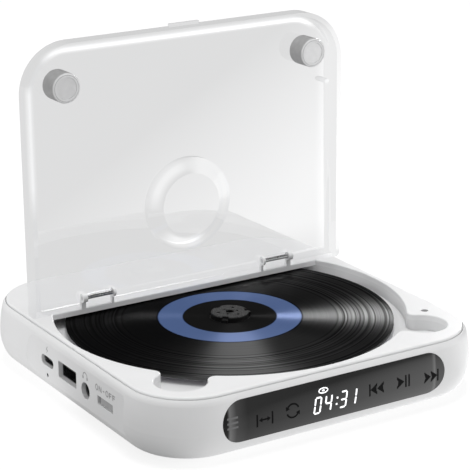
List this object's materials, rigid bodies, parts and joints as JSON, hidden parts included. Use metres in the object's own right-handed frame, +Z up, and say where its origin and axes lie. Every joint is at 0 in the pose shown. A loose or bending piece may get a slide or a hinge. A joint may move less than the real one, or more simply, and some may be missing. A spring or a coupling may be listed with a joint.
{
  "type": "portable disc player",
  "caption": "Compact square disc player: clear lid standing open on a rear hinge, round well with a disc on a clamping hub, flush front display window and sockets in the side",
  "frame": {"origin": "on the bench under the centre of the case, which is also under the disc's centre", "axes": "X to the right seen from the front, Y from the display side to the rear deck, Z up; the lid stands open as stored"},
  "size_m": [0.1378, 0.1392, 0.1249],
  "materials": {
    "white_case": "glossy white",
    "white_well": "satin white",
    "white_cover": "satin white",
    "soft_rubber": "matt light grey",
    "black_rubber": "matt black",
    "steel": "bright steel",
    "clear_lid": "clear, glossy",
    "knob_grey": "satin light grey",
    "magnet": "nickel plated",
    "window_black": "glossy smoked black",
    "board_green": "solder mask green",
    "chip_black": "matt black",
    "display_face": "dark with white segments",
    "spring_bronze": "bright",
    "ribbon": "flat cable",
    "cell_wrap": "blue wrap",
    "foam": "foam pad",
    "port_steel": "nickel plated shell",
    "port_tongue": "black with gold contacts",
    "jack_black": "black with a steel rim",
    "switch_black": "matt black",
    "switch_grey": "satin grey",
    "pipe_clear": "milky clear",
    "drive_plate": "zinc plated sheet",
    "stator_copper": "wound copper",
    "motor_steel": "satin",
    "gear_white": "natural acetal",
    "sled_black": "black",
    "lens_glass": "coated lens",
    "lens_holder": "black",
    "hub_black": "black side with a mottled grey top",
    "disc": "black record-like print with a blue ring"
  },
  "bodies": {
    "case": {"side_housing": "white_case", "top_plate": "white_case", "disc_well": "white_well", "bottom_cover": "white_cover", "rubber_feet": "soft_rubber", "cover_screws": "steel", "hinge_pins": "steel", "spindle_stator": "stator_copper", "drive_chassis": "drive_plate", "drive_grommets": "black_rubber", "drive_screws": "steel", "guide_rod_front": "steel", "guide_rod_rear": "steel", "gear_axle": "steel", "sled_motor": "motor_steel", "display_window": "window_black", "display_board": "board_green", "display_module": "display_face", "touch_springs": "spring_bronze", "display_ribbon": "ribbon", "main_board": "board_green", "board_screws": "steel", "board_chips": "chip_black", "usb_c_socket": "port_steel", "usb_a_shell": "port_steel", "usb_a_tongue": "port_tongue", "headphone_jack": "jack_black", "power_switch_body": "switch_black", "light_pipe": "pipe_clear", "lid_switch_body": "switch_black", "battery": "cell_wrap", "battery_pad": "foam"},
    "lid_body": {"lid": "clear_lid", "lid_knob_left": "knob_grey", "lid_knob_right": "knob_grey", "knob_magnet_left": "magnet", "knob_magnet_right": "magnet"},
    "turntable": {"disc": "disc", "turntable_hub": "hub_black", "spindle_shaft": "steel", "motor_cup": "motor_steel"},
    "jaw_1": {"disc_jaw_1": "hub_black"},
    "jaw_2": {"disc_jaw_2": "hub_black"},
    "jaw_3": {"disc_jaw_3": "hub_black"},
    "sled": {"pickup_sled": "sled_black", "focus_magnets": "magnet"},
    "lens": {"lens_holder": "lens_holder", "objective_lens": "lens_glass"},
    "transfer": {"transfer_gear": "gear_white"},
    "pinion": {"motor_pinion": "gear_white"},
    "switch_knob": {"power_switch_knob": "switch_grey"},
    "plunger": {"lid_switch_plunger": "switch_black"}
  },
  "joints": [
    {"name": "lid_hinge", "type": "hinge", "parent": "case", "child": "lid_body", "pos_m": [0, 0.0287, 0.0278], "axis": [1, 0, 0], "range_deg": [0, 90.64]},
    {"name": "disc_spin", "type": "hinge", "parent": "case", "child": "turntable", "pos_m": [0, 0, 0.0202], "axis": [0, 0, 1], "continuous": true},
    {"name": "jaw_slide_1", "type": "slide", "parent": "turntable", "child": "jaw_1", "axis": [-0.2419, 0.9703, 0], "range_m": [-0.0004, 0], "stiffness_N_per_m": 20},
    {"name": "jaw_slide_2", "type": "slide", "parent": "turntable", "child": "jaw_2", "axis": [-0.7193, -0.6947, 0], "range_m": [-0.0004, 0], "stiffness_N_per_m": 20},
    {"name": "jaw_slide_3", "type": "slide", "parent": "turntable", "child": "jaw_3", "axis": [0.9613, -0.2756, 0], "range_m": [-0.0004, 0], "stiffness_N_per_m": 20},
    {"name": "sled_slide", "type": "slide", "parent": "case", "child": "sled", "axis": [1, 0, 0], "range_m": [0, 0.032]},
    {"name": "lens_focus", "type": "slide", "parent": "sled", "child": "lens", "axis": [0, 0, 1], "range_m": [-0.0006, 0.0006], "stiffness_N_per_m": 30},
    {"name": "transfer_gear_spin", "type": "hinge", "parent": "case", "child": "transfer", "pos_m": [0.028, -0.0225, 0.0137], "axis": [0, 0, 1], "range_deg": [-524, 0]},
    {"name": "motor_pinion_spin", "type": "hinge", "parent": "case", "child": "pinion", "pos_m": [0.028, -0.0345, 0.0117], "axis": [0, 0, 1], "range_deg": [0, 1572]},
    {"name": "power_switch", "type": "slide", "parent": "case", "child": "switch_knob", "axis": [0, 1, 0], "range_m": [0, 0.0014]},
    {"name": "lid_switch_press", "type": "slide", "parent": "case", "child": "plunger", "axis": [0, 0, -1], "range_m": [0, 0.0008], "stiffness_N_per_m": 50}
  ],
  "couplings": [
    {"joint": "transfer_gear_spin", "follows": "sled_slide", "rad_per_m": -285.71},
    {"joint": "motor_pinion_spin", "follows": "sled_slide", "rad_per_m": 857.14}
  ]
}
